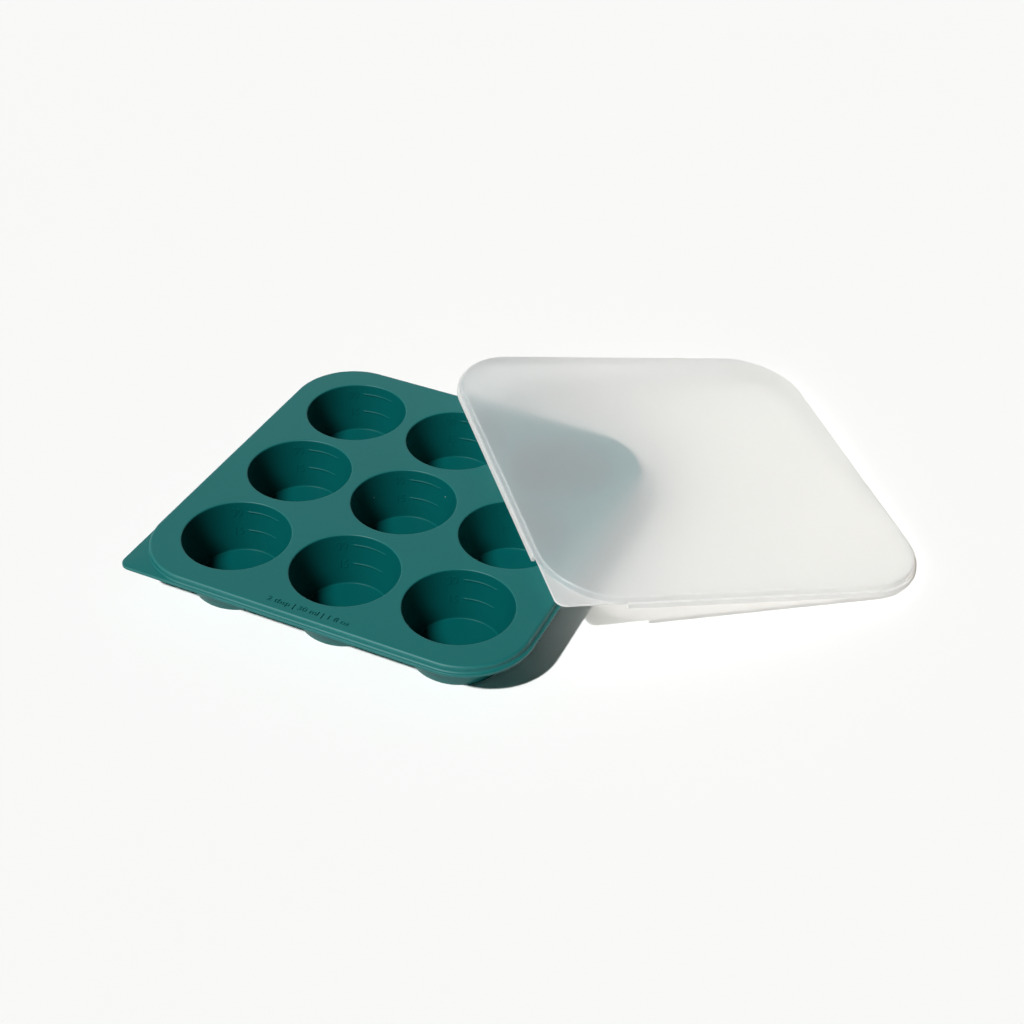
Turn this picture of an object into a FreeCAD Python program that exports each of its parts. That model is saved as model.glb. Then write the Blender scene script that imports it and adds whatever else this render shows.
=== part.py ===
"""A freezer tray for baby food: nine conical cups in one soft moulding, with a loose lid.

Millimetres, +Z up. The origin is under the middle cup, on the surface that the tray stands on.
X runs along the front side, Y towards the back, and the pull tabs are at the -X -Y corner.
The lid is off the tray: it leans on the +X +Y corner of the rim and stands on one corner.
"""

import FreeCAD
import Part
import math
import os
import PartDesign
import Sketcher

CUPS_PER_SIDE = 3

# Driving dimensions: name, millimetres (or degrees where the name ends in _turn or _span).
DIMENSIONS = (
    # cups
    ("mouth_radius", 25.7),
    ("floor_radius", 20.15),
    ("cup_depth", 24.9),
    ("cup_wall", 2.0),
    ("base_wall", 2.4),
    ("web_between_cups", 2.6),
    ("floor_thickness", 1.8),
    ("foot_height", 0.8),
    ("floor_gap", 0.3),
    ("mouth_round", 0.8),
    ("base_round", 1.5),
    # fill lines inside each cup
    ("full_line_depth", 5.2),
    ("half_line_depth", 14.7),
    ("line_height", 0.4),
    ("line_width", 0.9),
    ("line_root", 0.4),
    ("line_span", 39.0),
    # deck and rim
    ("deck_thickness", 2.0),
    ("deck_border", 10.3),
    ("deck_rise", 3.2),
    ("rim_wall", 2.0),
    ("rim_corner", 31.5),
    ("edge_round", 0.8),
    ("flange_width", 1.5),
    ("flange_thickness", 1.6),
    ("tab_corner", 5.0),
    # lid
    ("panel_thickness", 1.0),
    ("panel_seat", 0.2),
    ("panel_round", 0.9),
    ("lid_clearance", 0.8),
    ("lip_wall", 1.6),
    ("lid_wall", 1.2),
    ("lid_step", 1.4),
    ("lid_tab_thickness", 1.2),
    # how the lid lies
    ("lean_gap", 0.2),
    ("beyond_rim_x", 11.2),
    ("beyond_rim_y", -4.5),
    ("lid_turn", 41.0),
    ("downhill_turn", 27.5),
)


class Size:
    """A length with both its number and the sheet formula that it comes from."""

    def __init__(self, value, text):
        self.value = value
        self.text = text

    def __add__(self, other):
        other = as_size(other)
        return Size(self.value + other.value, f"({self.text} + {other.text})")

    def __sub__(self, other):
        other = as_size(other)
        return Size(self.value - other.value, f"({self.text} - {other.text})")

    def __mul__(self, other):
        other = as_size(other)
        return Size(self.value * other.value, f"({self.text} * {other.text})")

    def __truediv__(self, other):
        other = as_size(other)
        return Size(self.value / other.value, f"({self.text} / {other.text})")

    def __neg__(self):
        return Size(-self.value, f"(0 - {self.text})")


def as_size(number):
    return number if isinstance(number, Size) else Size(number, str(number))


def make_sheet(doc):
    """Write the driving dimensions to a sheet and give each back under its name."""
    sheet = doc.addObject("Spreadsheet::Sheet", "sizes")
    named = {}
    for row, (name, value) in enumerate(DIMENSIONS, start=1):
        sheet.set(f"A{row}", name)
        sheet.set(f"B{row}", str(value))
        sheet.setAlias(f"B{row}", name)
        named[name] = Size(value, f"sizes.{name}")
    doc.recompute()
    return named


doc = FreeCAD.newDocument("freezer_tray")
dim = make_sheet(doc)

# Tray sizes worked out from the driving ones.
ZERO = as_size(0.0)
COLLAR_RADIUS = dim["mouth_radius"] + dim["cup_wall"]
BASE_RADIUS = dim["floor_radius"] + dim["base_wall"]
PITCH = COLLAR_RADIUS * 2 + dim["web_between_cups"]
FLOOR_TOP = dim["foot_height"] + dim["floor_thickness"]
DECK_TOP = FLOOR_TOP + dim["cup_depth"]
DECK_UNDERSIDE = DECK_TOP - dim["deck_thickness"]
FLANGE_TOP = DECK_TOP - dim["deck_rise"]
FLANGE_UNDERSIDE = FLANGE_TOP - dim["flange_thickness"]
LAND_HALF = PITCH * (CUPS_PER_SIDE / 2)
RIM_HALF = PITCH * ((CUPS_PER_SIDE - 1) / 2) + COLLAR_RADIUS + dim["deck_border"]
FLANGE_HALF = RIM_HALF + dim["flange_width"]
CORNER_CENTRE = RIM_HALF - dim["rim_corner"]

# Lid sizes, in the lid's own frame: its lip stands on z = 0 and its panel is on top.
LIP_HALF = FLANGE_HALF + dim["lid_clearance"] + dim["lip_wall"]
LIP_CORNER = LIP_HALF - CORNER_CENTRE
LIP_INNER_HALF = LIP_HALF - dim["lip_wall"]
WALL_HALF = LIP_HALF - dim["lid_step"]
WALL_INNER_HALF = WALL_HALF - dim["lid_wall"]
LID_TAB_UNDERSIDE = dim["flange_thickness"]
STEP_TOP = LID_TAB_UNDERSIDE + dim["lid_tab_thickness"]
PANEL_UNDERSIDE = dim["flange_thickness"] + dim["deck_rise"] + dim["panel_seat"]


def new_body(label):
    body = doc.addObject("PartDesign::Body", label)
    body.Label = label
    return body


def new_sketch(body, plane, name, height=ZERO):
    """Attach a sketch to one of the body's origin planes, raised by height along its normal."""
    sketch = body.newObject("Sketcher::SketchObject", f"{body.Name}_{name}")
    support = next(item for item in body.Origin.OriginFeatures if item.Role == plane)
    sketch.AttachmentSupport = [(support, "")]
    sketch.MapMode = "FlatFace"
    sketch.setExpression("AttachmentOffset.Base.z", height.text)
    return sketch


def dimension(sketch, kind, first, second, size):
    """Add a distance or radius constraint and tie it to the sheet."""
    places = first + second
    index = sketch.addConstraint(Sketcher.Constraint(kind, *places, size.value))
    name = f"size_{index}"
    sketch.renameConstraint(index, name)
    sketch.setExpression(f"Constraints.{name}", size.text)


def pin(sketch, geometry, vertex, x, y):
    """Fix a vertex at (x, y), measured from the sketch's origin."""
    origin = (-1, 1)
    for kind, size, axis in (("DistanceX", x, -2), ("DistanceY", y, -1)):
        if abs(size.value) < 1e-9:
            sketch.addConstraint(Sketcher.Constraint("PointOnObject", geometry, vertex, axis))
        elif size.value > 0:
            dimension(sketch, kind, origin, (geometry, vertex), size)
        else:
            dimension(sketch, kind, (geometry, vertex), origin, -size)


def polygon(sketch, corners):
    """Draw a closed outline of straight lines through (x, y) corners."""
    points = [FreeCAD.Vector(x.value, y.value, 0) for x, y in corners]
    count = len(points)
    lines = [
        sketch.addGeometry(Part.LineSegment(points[k], points[(k + 1) % count])) for k in range(count)
    ]
    for k, line in enumerate(lines):
        following = lines[(k + 1) % count]
        sketch.addConstraint(Sketcher.Constraint("Coincident", line, 2, following, 1))
        pin(sketch, line, 1, *corners[k])


def square(sketch, half):
    polygon(sketch, ((-half, -half), (half, -half), (half, half), (-half, half)))


def corner_square(sketch, half):
    """Draw the -X -Y corner of a square of this half width, in to where the round corners start."""
    polygon(sketch, (
        (-half, -half), (-CORNER_CENTRE, -half), (-CORNER_CENTRE, -CORNER_CENTRE), (-half, -CORNER_CENTRE)
    ))


def circle(sketch, x, y, radius):
    centre = FreeCAD.Vector(x.value, y.value, 0)
    ring = sketch.addGeometry(Part.Circle(centre, FreeCAD.Vector(0, 0, 1), radius.value))
    pin(sketch, ring, 3, x, y)
    dimension(sketch, "Radius", (ring,), (), radius)


def rounded_square(sketch, half, corner):
    """Draw a square about the origin with four equal round corners."""
    side = half.value
    flat = side - corner.value
    ends = (((-flat, -side), (flat, -side)), ((side, -flat), (side, flat)),
            ((flat, side), (-flat, side)), ((-side, flat), (-side, -flat)))
    lines = [
        sketch.addGeometry(Part.LineSegment(FreeCAD.Vector(*a, 0), FreeCAD.Vector(*b, 0))) for a, b in ends
    ]
    arcs = []
    for quarter, (x, y) in enumerate(((flat, -flat), (flat, flat), (-flat, flat), (-flat, -flat))):
        ring = Part.Circle(FreeCAD.Vector(x, y, 0), FreeCAD.Vector(0, 0, 1), corner.value)
        start = (quarter - 1) * math.pi / 2
        arcs.append(sketch.addGeometry(Part.ArcOfCircle(ring, start, start + math.pi / 2)))
    for k, arc in enumerate(arcs):
        sketch.addConstraint(Sketcher.Constraint("Tangent", lines[k], 2, arc, 1))
        sketch.addConstraint(Sketcher.Constraint("Tangent", arc, 2, lines[(k + 1) % 4], 1))
        level = "Horizontal" if k % 2 == 0 else "Vertical"
        sketch.addConstraint(Sketcher.Constraint(level, lines[k]))
    for arc in arcs[1:]:
        sketch.addConstraint(Sketcher.Constraint("Equal", arcs[0], arc))
    dimension(sketch, "Radius", (arcs[0],), (), corner)
    origin = (-1, 1)
    dimension(sketch, "DistanceY", (lines[0], 1), origin, half)
    dimension(sketch, "DistanceX", origin, (lines[1], 1), half)
    dimension(sketch, "DistanceY", origin, (lines[2], 1), half)
    dimension(sketch, "DistanceX", (lines[3], 1), origin, half)


def pad(body, sketch, length):
    feature = body.newObject("PartDesign::Pad", f"{sketch.Name}_pad")
    feature.Profile = sketch
    feature.setExpression("Length", length.text)
    sketch.Visibility = False
    return feature


def pocket(body, sketch, length):
    """Cut upwards from the sketch, and make sure that something was cut."""
    doc.recompute()
    before = body.Shape.Volume
    feature = body.newObject("PartDesign::Pocket", f"{sketch.Name}_pocket")
    feature.Profile = sketch
    feature.Reversed = True
    feature.setExpression("Length", length.text)
    doc.recompute()
    if body.Shape.Volume >= before:
        raise RuntimeError(f"{feature.Name} cuts nothing")
    return feature


def revolve(body, sketch, span):
    """Turn the sketch about the upright axis, evenly to both sides of its plane."""
    feature = body.newObject("PartDesign::Revolution", f"{sketch.Name}_revolution")
    feature.Profile = sketch
    feature.ReferenceAxis = (sketch, ["V_Axis"])
    feature.Midplane = True
    feature.setExpression("Angle", span.text)
    return feature


def fillet(body, name, radius, wanted):
    """Round the edges of the body's present shape that the test picks out."""
    doc.recompute()
    base = body.Tip
    edges = [f"Edge{k}" for k, edge in enumerate(base.Shape.Edges, start=1) if wanted(edge)]
    if not edges:
        raise RuntimeError(f"{body.Name} has no edge for {name}")
    feature = body.newObject("PartDesign::Fillet", f"{body.Name}_{name}")
    feature.Base = (base, edges)
    feature.setExpression("Radius", radius.text)


def at_height(edge, height):
    return all(abs(vertex.Z - height.value) < 1e-4 for vertex in edge.Vertexes)


def is_ring(edge, radius, height):
    """True for a full circle of this radius at this height."""
    round_edge = isinstance(edge.Curve, Part.Circle) and len(edge.Vertexes) == 1
    return round_edge and at_height(edge, height) and abs(edge.Curve.Radius - radius.value) < 1e-4


def reaches(edge, half):
    """True for an edge that touches the sides of a square of this half width."""
    box = edge.BoundBox
    furthest = max(abs(box.XMin), abs(box.XMax), abs(box.YMin), abs(box.YMax))
    return furthest > half.value - 1e-3


def wall_radius(depth):
    """Inner radius of a cup at this depth below the deck."""
    taper = (dim["mouth_radius"] - dim["floor_radius"]) / dim["cup_depth"]
    return dim["mouth_radius"] - taper * depth


def make_cup(label, x, y):
    """One cup: a conical wall, the square of deck around its mouth and its two fill lines."""
    body = new_body(label)
    profile = new_sketch(body, "XZ_Plane", "profile")
    polygon(profile, (
        (dim["floor_radius"], ZERO),
        (BASE_RADIUS, ZERO),
        (COLLAR_RADIUS, DECK_UNDERSIDE),
        (COLLAR_RADIUS, DECK_TOP),
        (dim["mouth_radius"], DECK_TOP),
        (dim["floor_radius"], FLOOR_TOP),
    ))
    revolve(body, profile, as_size(360))
    land = new_sketch(body, "XY_Plane", "land", DECK_UNDERSIDE)
    square(land, PITCH / 2)
    circle(land, ZERO, ZERO, COLLAR_RADIUS - dim["cup_wall"] / 2)
    pad(body, land, dim["deck_thickness"])
    for name, depth in (("full", dim["full_line_depth"]), ("half", dim["half_line_depth"])):
        line = new_sketch(body, "YZ_Plane", f"{name}_line")
        radius = wall_radius(depth)
        level = DECK_TOP - depth
        crest = radius - dim["line_height"]
        root = radius + dim["line_root"]
        low = level - dim["line_width"] / 2
        high = level + dim["line_width"] / 2
        polygon(line, ((crest, low), (root, low), (root, high), (crest, high)))
        revolve(body, line, dim["line_span"])
    fillet(body, "mouth_round", dim["mouth_round"],
           lambda edge: is_ring(edge, dim["mouth_radius"], DECK_TOP))
    fillet(body, "base_round", dim["base_round"], lambda edge: is_ring(edge, BASE_RADIUS, ZERO))
    body.setExpression("Placement.Base.x", x.text)
    body.setExpression("Placement.Base.y", y.text)
    return body


def make_cup_floor(label, x, y):
    """The thin round floor that a thumb pushes up to free the frozen portion."""
    disc = doc.addObject("Part::Cylinder", label)
    disc.Label = label
    disc.setExpression("Radius", (dim["floor_radius"] - dim["floor_gap"]).text)
    disc.setExpression("Height", dim["floor_thickness"].text)
    disc.setExpression("Placement.Base.x", x.text)
    disc.setExpression("Placement.Base.y", y.text)
    disc.setExpression("Placement.Base.z", dim["foot_height"].text)
    return disc


def make_rim():
    """The border of the deck, the low wall under its edge and the flange that the lid grips."""
    body = new_body("tray_rim")
    flange = new_sketch(body, "XY_Plane", "flange", FLANGE_UNDERSIDE)
    rounded_square(flange, FLANGE_HALF, FLANGE_HALF - CORNER_CENTRE)
    pad(body, flange, dim["flange_thickness"])
    corner = new_sketch(body, "XY_Plane", "tab_place", FLANGE_UNDERSIDE)
    corner_square(corner, FLANGE_HALF + dim["flange_width"])
    pocket(body, corner, dim["flange_thickness"])
    wall = new_sketch(body, "XY_Plane", "wall", FLANGE_UNDERSIDE)
    rounded_square(wall, RIM_HALF, dim["rim_corner"])
    pad(body, wall, DECK_TOP - FLANGE_UNDERSIDE)
    hollow = new_sketch(body, "XY_Plane", "hollow", FLANGE_UNDERSIDE)
    rounded_square(hollow, RIM_HALF - dim["rim_wall"], dim["rim_corner"] - dim["rim_wall"])
    pocket(body, hollow, DECK_UNDERSIDE - FLANGE_UNDERSIDE)
    middle = new_sketch(body, "XY_Plane", "cup_field", DECK_UNDERSIDE)
    square(middle, LAND_HALF)
    pocket(body, middle, dim["deck_thickness"])
    fillet(body, "edge_round", dim["edge_round"],
           lambda edge: at_height(edge, DECK_TOP) and reaches(edge, RIM_HALF))
    return body


def make_corner_tab(label, half, inner_radius, underside, thickness):
    """A flat square corner wrapped around a round one, for a finger and thumb to pull."""
    body = new_body(label)
    outline = new_sketch(body, "XY_Plane", "outline", underside)
    corner_square(outline, half)
    pad(body, outline, thickness)
    bite = new_sketch(body, "XY_Plane", "bite", underside)
    circle(bite, -CORNER_CENTRE, -CORNER_CENTRE, inner_radius)
    pocket(body, bite, thickness)
    corner = -half.value
    fillet(body, "corner_round", dim["tab_corner"], lambda edge: all(
        abs(vertex.X - corner) < 1e-4 and abs(vertex.Y - corner) < 1e-4 for vertex in edge.Vertexes))
    return body


def make_lid_panel():
    body = new_body("lid_panel")
    outline = new_sketch(body, "XY_Plane", "outline", PANEL_UNDERSIDE)
    rounded_square(outline, WALL_HALF, WALL_HALF - CORNER_CENTRE)
    pad(body, outline, dim["panel_thickness"])
    top = PANEL_UNDERSIDE + dim["panel_thickness"]
    fillet(body, "panel_round", dim["panel_round"], lambda edge: at_height(edge, top))
    return body


def make_lid_skirt():
    """The wall below the panel, stepped out to a lip that passes around the tray's flange."""
    body = new_body("lid_skirt")
    lip = new_sketch(body, "XY_Plane", "lip")
    rounded_square(lip, LIP_HALF, LIP_CORNER)
    pad(body, lip, STEP_TOP)
    corner = new_sketch(body, "XY_Plane", "tab_place")
    corner_square(corner, LIP_HALF + dim["lid_step"])
    pocket(body, corner, STEP_TOP)
    wall = new_sketch(body, "XY_Plane", "wall", STEP_TOP)
    rounded_square(wall, WALL_HALF, WALL_HALF - CORNER_CENTRE)
    pad(body, wall, PANEL_UNDERSIDE - STEP_TOP)
    upper = new_sketch(body, "XY_Plane", "upper_hollow")
    rounded_square(upper, WALL_INNER_HALF, WALL_INNER_HALF - CORNER_CENTRE)
    pocket(body, upper, PANEL_UNDERSIDE)
    lower = new_sketch(body, "XY_Plane", "lower_hollow")
    rounded_square(lower, LIP_INNER_HALF, LIP_INNER_HALF - CORNER_CENTRE)
    pocket(body, lower, LID_TAB_UNDERSIDE)
    return body


def support(half, corner, turn):
    """How far a rounded square reaches from its centre in the direction turn, in radians."""
    return (half - corner) * (abs(math.cos(turn)) + abs(math.sin(turn))) + corner


def lean_placement():
    """Place the lid so that its lip stands on z = 0 and its panel rests on the deck's corner."""
    turn = math.radians(dim["lid_turn"].value)
    downhill = math.radians(dim["downhill_turn"].value)
    centre_x = FLANGE_HALF.value + dim["beyond_rim_x"].value
    centre_y = FLANGE_HALF.value + dim["beyond_rim_y"].value
    lid_reach = support(LIP_HALF.value, LIP_CORNER.value, downhill - turn)
    deck_reach = support(RIM_HALF.value - dim["edge_round"].value,
                         dim["rim_corner"].value - dim["edge_round"].value, downhill)
    run = centre_x * math.cos(downhill) + centre_y * math.sin(downhill) - deck_reach
    headroom = PANEL_UNDERSIDE.value - dim["lean_gap"].value
    low, high = 0.0, math.pi / 4
    for _ in range(60):
        tilt = (low + high) / 2
        panel_height = lid_reach * math.sin(tilt) + headroom / math.cos(tilt) + run * math.tan(tilt)
        if panel_height < DECK_TOP.value:
            low = tilt
        else:
            high = tilt
    axis = FreeCAD.Vector(-math.sin(downhill), math.cos(downhill), 0)
    lean = FreeCAD.Rotation(axis, math.degrees(tilt))
    yaw = FreeCAD.Rotation(FreeCAD.Vector(0, 0, 1), dim["lid_turn"].value)
    base = FreeCAD.Vector(centre_x, centre_y, lid_reach * math.sin(tilt))
    return FreeCAD.Placement(base, lean.multiply(yaw))


def make_tray():
    parts = []
    for row in range(CUPS_PER_SIDE):
        for column in range(CUPS_PER_SIDE):
            x = PITCH * (column - (CUPS_PER_SIDE - 1) / 2)
            y = PITCH * (row - (CUPS_PER_SIDE - 1) / 2)
            place = f"r{row + 1}c{column + 1}"
            parts.append(make_cup(f"cup_{place}", x, y))
            parts.append(make_cup_floor(f"cup_floor_{place}", x, y))
    parts.append(make_rim())
    parts.append(make_corner_tab("tray_tab", FLANGE_HALF, dim["rim_corner"],
                                 FLANGE_UNDERSIDE, dim["flange_thickness"]))
    return parts


def make_lid():
    parts = [
        make_lid_panel(),
        make_lid_skirt(),
        make_corner_tab("lid_tab", WALL_HALF, WALL_INNER_HALF - CORNER_CENTRE,
                        LID_TAB_UNDERSIDE, dim["lid_tab_thickness"]),
    ]
    placement = lean_placement()
    for part in parts:
        part.Placement = placement
    return parts


def check_and_export(parts):
    """Stop on any failed object, then write each sub-part to a file of its own."""
    doc.recompute()
    for item in doc.Objects:
        if "Invalid" in item.State or "Error" in item.State:
            raise RuntimeError(f"{item.Name} failed: {item.State}")
    for part in parts:
        if part.Shape.isNull() or not part.Shape.isValid() or not part.Shape.Solids:
            raise RuntimeError(f"{part.Label} has no valid solid")
    os.makedirs("parts", exist_ok=True)
    for part in parts:
        part.Shape.exportStep(f"parts/{part.Label}.step")


check_and_export(make_tray() + make_lid())
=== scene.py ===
"""The looks of a soft freezer tray with nine cups and a loose frosted lid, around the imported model.

Metres, +Z up, in the model's own frame. Each visible skin replaces the plain solids that it covers.
"""

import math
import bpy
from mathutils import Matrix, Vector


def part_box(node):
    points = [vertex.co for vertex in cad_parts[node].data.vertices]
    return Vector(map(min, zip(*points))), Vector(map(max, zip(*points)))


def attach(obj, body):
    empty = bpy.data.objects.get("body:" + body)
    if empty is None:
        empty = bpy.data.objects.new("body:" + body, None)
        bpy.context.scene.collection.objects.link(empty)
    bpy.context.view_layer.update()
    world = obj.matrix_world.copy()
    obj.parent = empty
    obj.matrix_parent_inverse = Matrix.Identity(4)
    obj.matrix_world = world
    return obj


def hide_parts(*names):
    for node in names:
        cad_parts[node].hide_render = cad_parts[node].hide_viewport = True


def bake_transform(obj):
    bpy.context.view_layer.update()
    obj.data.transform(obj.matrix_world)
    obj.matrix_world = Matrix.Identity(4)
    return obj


bl_info = {
    "name": "Baby food freezer tray",
    "version": (1, 0, 0),
    "blender": (4, 5, 0),
    "location": "View3D > Sidebar > Freezer tray",
    "description": "Builds a soft nine-cup freezer tray, its frosted lid and a pale studio",
    "category": "Object",
}

import bmesh
import bpy
from mathutils import Matrix, Vector
from mathutils.geometry import delaunay_2d_cdt

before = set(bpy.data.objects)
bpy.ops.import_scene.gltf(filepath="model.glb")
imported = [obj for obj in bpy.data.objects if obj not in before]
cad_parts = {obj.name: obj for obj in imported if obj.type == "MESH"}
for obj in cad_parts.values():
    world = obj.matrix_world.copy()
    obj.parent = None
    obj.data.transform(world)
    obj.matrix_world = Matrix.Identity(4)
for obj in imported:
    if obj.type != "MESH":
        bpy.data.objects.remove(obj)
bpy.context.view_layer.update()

MM = 0.001
CUP_PLACES = [(row, column) for row in (1, 2, 3) for column in (1, 2, 3)]
CUP_STEPS = 144
CORNER_STEPS = 48
ARC_STEPS = 5
LEAD_SHARE = 0.4


def low_corner(node):
    return Vector(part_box(node)[0])


def high_corner(node):
    return Vector(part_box(node)[1])


def length(name, description, default):
    """A length that a user can change, shown in the scene's own unit."""
    return bpy.props.FloatProperty(
        name=name, description=description, default=default, precision=5, unit="LENGTH"
    )


def colour(name, description, default):
    return bpy.props.FloatVectorProperty(
        name=name, description=description, default=default, size=3, min=0, max=1, subtype="COLOR"
    )


def fraction(name, description, default):
    """A value from 0 to 1."""
    return bpy.props.FloatProperty(
        name=name, description=description, default=default, min=0, max=1
    )


def brightness(name, description, default):
    """A strength, from 0 up."""
    return bpy.props.FloatProperty(name=name, description=description, default=default, min=0)


def turned(name, description, degrees):
    """An angle, given in degrees and kept in radians."""
    return bpy.props.FloatProperty(
        name=name, description=description, default=math.radians(degrees), subtype="ANGLE"
    )


class TraySizes(bpy.types.PropertyGroup):
    """Sizes of the soft tray."""

    deck_top: length("Deck top", "Height of the deck above the floor", high_corner("tray_rim").z)
    deck_thickness: length("Deck thickness", "Thickness of the deck", 2.0 * MM)
    rim_half: length("Rim half width", "From the middle to the deck's edge", 96.0 * MM)
    flange_half: length(
        "Flange half width", "From the middle to the flange's edge", high_corner("tray_rim").x
    )
    flange_top: length("Flange top", "Height of the flange's upper face", 24.3 * MM)
    flange_underside: length(
        "Flange underside", "Height of the flange's lower face", low_corner("tray_rim").z
    )
    corner_centre: length("Corner centre", "From the middle to a round corner's centre", 64.5 * MM)
    rim_wall: length("Rim wall", "Thickness of the wall under the deck's edge", 2.0 * MM)
    edge_round: length("Edge round", "Radius of the deck's edge", 1.3 * MM)
    crease_round: length("Crease round", "Radius between the deck's wall and the flange", 1.1 * MM)
    tab_corner: length("Tab corner", "Radius of the pull tab's corner", 5.0 * MM)
    mouth_radius: length("Mouth radius", "Inner radius of a cup where it meets the deck", 25.7 * MM)
    mouth_round: length("Mouth round", "Radius of the lip of a cup", 0.8 * MM)
    floor_radius: length("Floor radius", "Inner radius of a cup at its floor", 20.15 * MM)
    floor_top: length("Floor top", "Height of a cup's floor", high_corner("cup_floor_r2c2").z)
    floor_underside: length(
        "Floor underside", "Height of a cup floor's lower face", low_corner("cup_floor_r2c2").z
    )
    cup_wall: length("Cup wall", "Thickness of a cup's wall at the deck", 2.0 * MM)
    base_wall: length("Base wall", "Thickness of a cup's wall at its base", 2.4 * MM)
    base_round: length("Base round", "Radius of a cup's outer bottom edge", 1.5 * MM)
    full_line_depth: length("Full line depth", "Depth of the upper fill line", 5.2 * MM)
    half_line_depth: length("Half line depth", "Depth of the lower fill line", 14.7 * MM)
    line_height: length("Fill line height", "How far a fill line stands out", 0.4 * MM)
    line_width: length("Fill line width", "Width of a fill line", 0.9 * MM)
    legend_height: length("Legend height", "Height of the legend's capitals", 2.9 * MM)
    legend_width: length("Legend width", "Width of the whole legend", 42 * MM)
    legend_depth: length("Legend depth", "Depth of the legend in the deck", 0.5 * MM)


class LidSizes(bpy.types.PropertyGroup):
    """Sizes of the frosted lid, in its own axes, where its lip stands at height 0."""

    lip_half: length("Lip half width", "From the middle to the lip's outer face", 99.9 * MM)
    lip_wall: length("Lip wall", "Thickness of the lip", 1.6 * MM)
    wall_half: length("Wall half width", "From the middle to the wall's outer face", 98.5 * MM)
    wall: length("Wall", "Thickness of the wall above the step", 1.2 * MM)
    step_underside: length("Step underside", "Height of the step's lower face", 1.6 * MM)
    step_top: length("Step top", "Height of the step's upper face", 2.8 * MM)
    panel_underside: length("Panel underside", "Height of the panel's lower face", 5.0 * MM)
    panel_top: length("Panel top", "Height of the panel's upper face", 6.0 * MM)
    panel_round: length("Panel round", "Radius of the panel's edge", 0.9 * MM)
    small_round: length("Small round", "Radius of the lip's and the tab's edges", 0.3 * MM)
    tab_corner: length("Tab corner", "Radius of the pull tab's corner", 5.0 * MM)


class Finish(bpy.types.PropertyGroup):
    """Colours and gloss of the two mouldings and the backdrop."""

    silicone: colour("Silicone", "Colour of the soft tray", (0.001, 0.127, 0.122))
    silicone_roughness: fraction("Silicone roughness", "Roughness of the soft tray", 0.48)
    # About three quarters as bright as the deck's silicone: painted shade inside the cups, where less
    # light reaches.
    cup_silicone: colour("Cup silicone", "Colour of the cups' insides", (0.0005, 0.094, 0.092))
    cup_roughness: fraction("Cup roughness", "Roughness of the insides of the cups", 0.40)
    plastic: colour("Plastic", "Tint of the light that goes through the lid", (0.965, 0.942, 0.915))
    plastic_veil: colour("Veil", "Colour that the frosting throws back", (0.83, 0.91, 0.96))
    lip_veil: colour("Lip veil", "Colour that the lip and the tab throw back", (0.93, 0.94, 0.935))
    plastic_clearness: fraction("Clearness", "Light that goes through each face of the lid", 0.75)
    plastic_light: fraction("Light through", "Lamplight that passes each face of the lid", 0.66)
    lip_clearness: fraction(
        "Lip clearness", "Light that goes through each face of the lip and tab", 0.33
    )
    lip_light: fraction("Lip light", "Lamplight that passes each face of the lip and tab", 0.45)
    plastic_bounce: fraction("Bounce", "Bounced light that each face of the lid lets by", 0.45)
    plastic_milk: fraction("Milk", "Part of each lid face that scatters light all ways", 0.15)
    plastic_roughness: fraction("Frosting", "Roughness of the frosted lid", 0.30)
    backdrop: colour("Backdrop", "Colour of the surface under the object", (0.955, 0.957, 0.945))


class Studio(bpy.types.PropertyGroup):
    """Lamps and camera."""

    key_strength: brightness("Key strength", "Strength of the lamp for the object", 3.75)
    key_spread: turned("Key spread", "Angle that the lamp for the object fills", 14)
    floor_strength: brightness("Floor light strength", "Strength of the lamp for the backdrop", 4.2)
    floor_spread: turned("Floor light spread", "Angle that the lamp for the backdrop fills", 2)
    sky_strength: brightness("Sky strength", "Strength of the even light from all sides", 0.01)
    haze_low: brightness("Low haze", "Brightness of the studio near the horizon", 1.0)
    haze_high: brightness("High haze", "Brightness of the studio overhead", 0.25)
    azimuth: turned("Azimuth", "Turn of the camera about the upright axis", 23.457)
    elevation: turned("Elevation", "How far the camera looks down", 37.383)
    roll: turned("Roll", "Turn of the camera about its own axis", 1.7445)
    distance: length("Distance", "From the camera to the point that it looks at", 773.1 * MM)
    target: bpy.props.FloatVectorProperty(
        name="Target", description="Point that the camera looks at",
        default=(50.66 * MM, 15.49 * MM, 27.5 * MM), size=3, unit="LENGTH",
    )
    lens: bpy.props.FloatProperty(
        name="Lens", description="Focal length in millimetres on a 36 mm sensor",
        default=56.43, min=1,
    )


# ---------------------------------------------------------------- materials


OBJECT_COORDINATES = 3
IS_CAMERA_RAY = 0
IS_SHADOW_RAY = 1
IS_DIFFUSE_RAY = 2
IS_GLOSSY_RAY = 3
IS_TRANSMISSION_RAY = 6
DIFFUSE_DEPTH = 10


class Value:
    """A node's output that can be used in sums."""

    def __init__(self, graph, socket):
        self.graph = graph
        self.socket = socket

    def sum(self, operation, first, second):
        return self.graph.node("ShaderNodeMath", {"operation": operation}, {0: first, 1: second})

    def __add__(self, other):
        return self.sum("ADD", self, other)

    def __radd__(self, other):
        return self.sum("ADD", other, self)

    def __sub__(self, other):
        return self.sum("SUBTRACT", self, other)

    def __mul__(self, other):
        return self.sum("MULTIPLY", self, other)

    def __lt__(self, other):
        return self.sum("LESS_THAN", self, other)


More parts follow.
